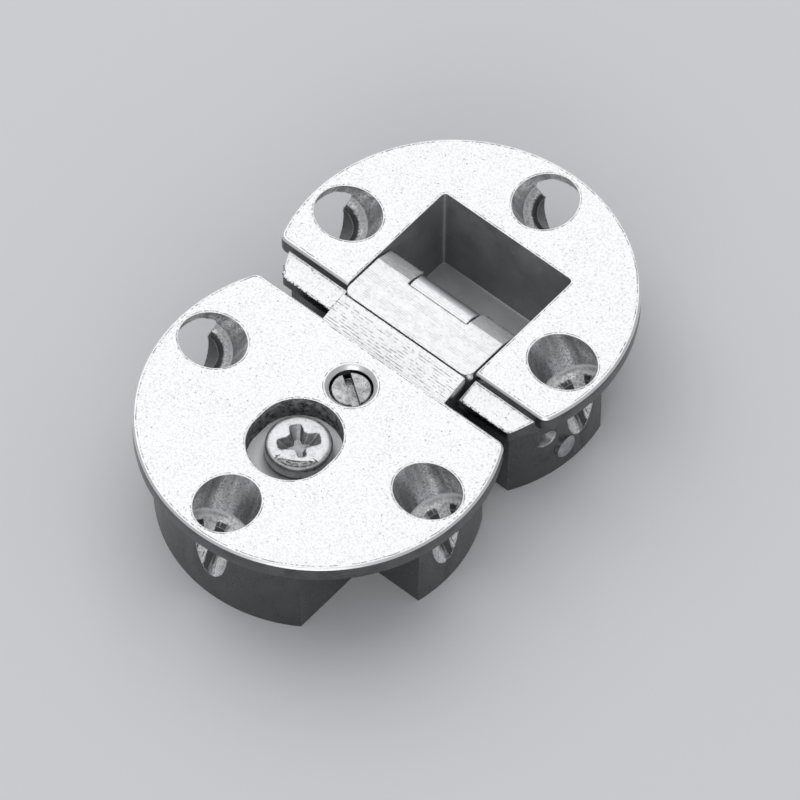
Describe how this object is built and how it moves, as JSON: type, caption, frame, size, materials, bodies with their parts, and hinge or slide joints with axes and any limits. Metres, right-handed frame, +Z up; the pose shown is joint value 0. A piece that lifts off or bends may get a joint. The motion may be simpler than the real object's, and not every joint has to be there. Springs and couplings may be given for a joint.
{
  "type": "concealed hinge",
  "caption": "Flush concealed hinge for a drop-down flap: round cups sunk in drilled panels, joined by a split arm, tongue and side links on pins, with clamp and height screws.",
  "frame": {"origin": "middle of the hinge at the height of the cups' feet, with the hinge open flat", "axes": "+X along the pins, +Y from the arm cup to the link cup, +Z up out of the flush faces"},
  "size_m": [0.035, 0.0544, 0.0122],
  "materials": {
    "bright_plating": "satin",
    "brushed_plating": "satin",
    "pin_steel": "satin",
    "screw_plating": "satin"
  },
  "bodies": {
    "link_cup": {"link_cup": "bright_plating", "tongue_pin": "pin_steel", "link_pin": "pin_steel"},
    "tongue": {"tongue": "brushed_plating"},
    "arm": {"arm": "brushed_plating", "fork_block": "brushed_plating", "block_pin": "pin_steel", "knuckle_pin": "pin_steel", "arm_pin": "pin_steel"},
    "side_links": {"side_link_left": "brushed_plating", "side_link_right": "brushed_plating"},
    "arm_cup": {"arm_cup": "bright_plating"},
    "clamp_screw": {"clamp_screw": "screw_plating"},
    "height_screw": {"height_screw": "screw_plating"}
  },
  "joints": [
    {"name": "tongue_swing", "type": "hinge", "parent": "link_cup", "child": "tongue", "pos_m": [0, 0.00765, 0.003], "axis": [-1, 0, 0], "range_deg": [0, 78.68]},
    {"name": "arm_fold", "type": "hinge", "parent": "tongue", "child": "arm", "pos_m": [0, 0.0078, 0.0102], "axis": [-1, 0, 0], "range_deg": [0, 11.33]},
    {"name": "link_swing", "type": "hinge", "parent": "link_cup", "child": "side_links", "pos_m": [0, 0.00545, 0.00595], "axis": [-1, 0, 0], "range_deg": [0, 122.13]},
    {"name": "depth_adjust", "type": "slide", "parent": "arm", "child": "arm_cup", "axis": [0, 0.9632, 0.2689], "range_m": [-0.0004, 0.0004]},
    {"name": "clamp_screw_turn", "type": "hinge", "parent": "arm", "child": "clamp_screw", "pos_m": [0, -0.01275, 0.005], "axis": [0, 0, 1], "range_deg": [-180, 180]},
    {"name": "height_screw_turn", "type": "hinge", "parent": "arm_cup", "child": "height_screw", "pos_m": [0, -0.00525, 0.01], "axis": [0, 0, 1], "range_deg": [-180, 180]}
  ],
  "couplings": [
    {"joint": "arm_fold", "follows": "tongue_swing", "ratio": 0.14392},
    {"joint": "link_swing", "follows": "tongue_swing", "ratio": 1.5522}
  ]
}
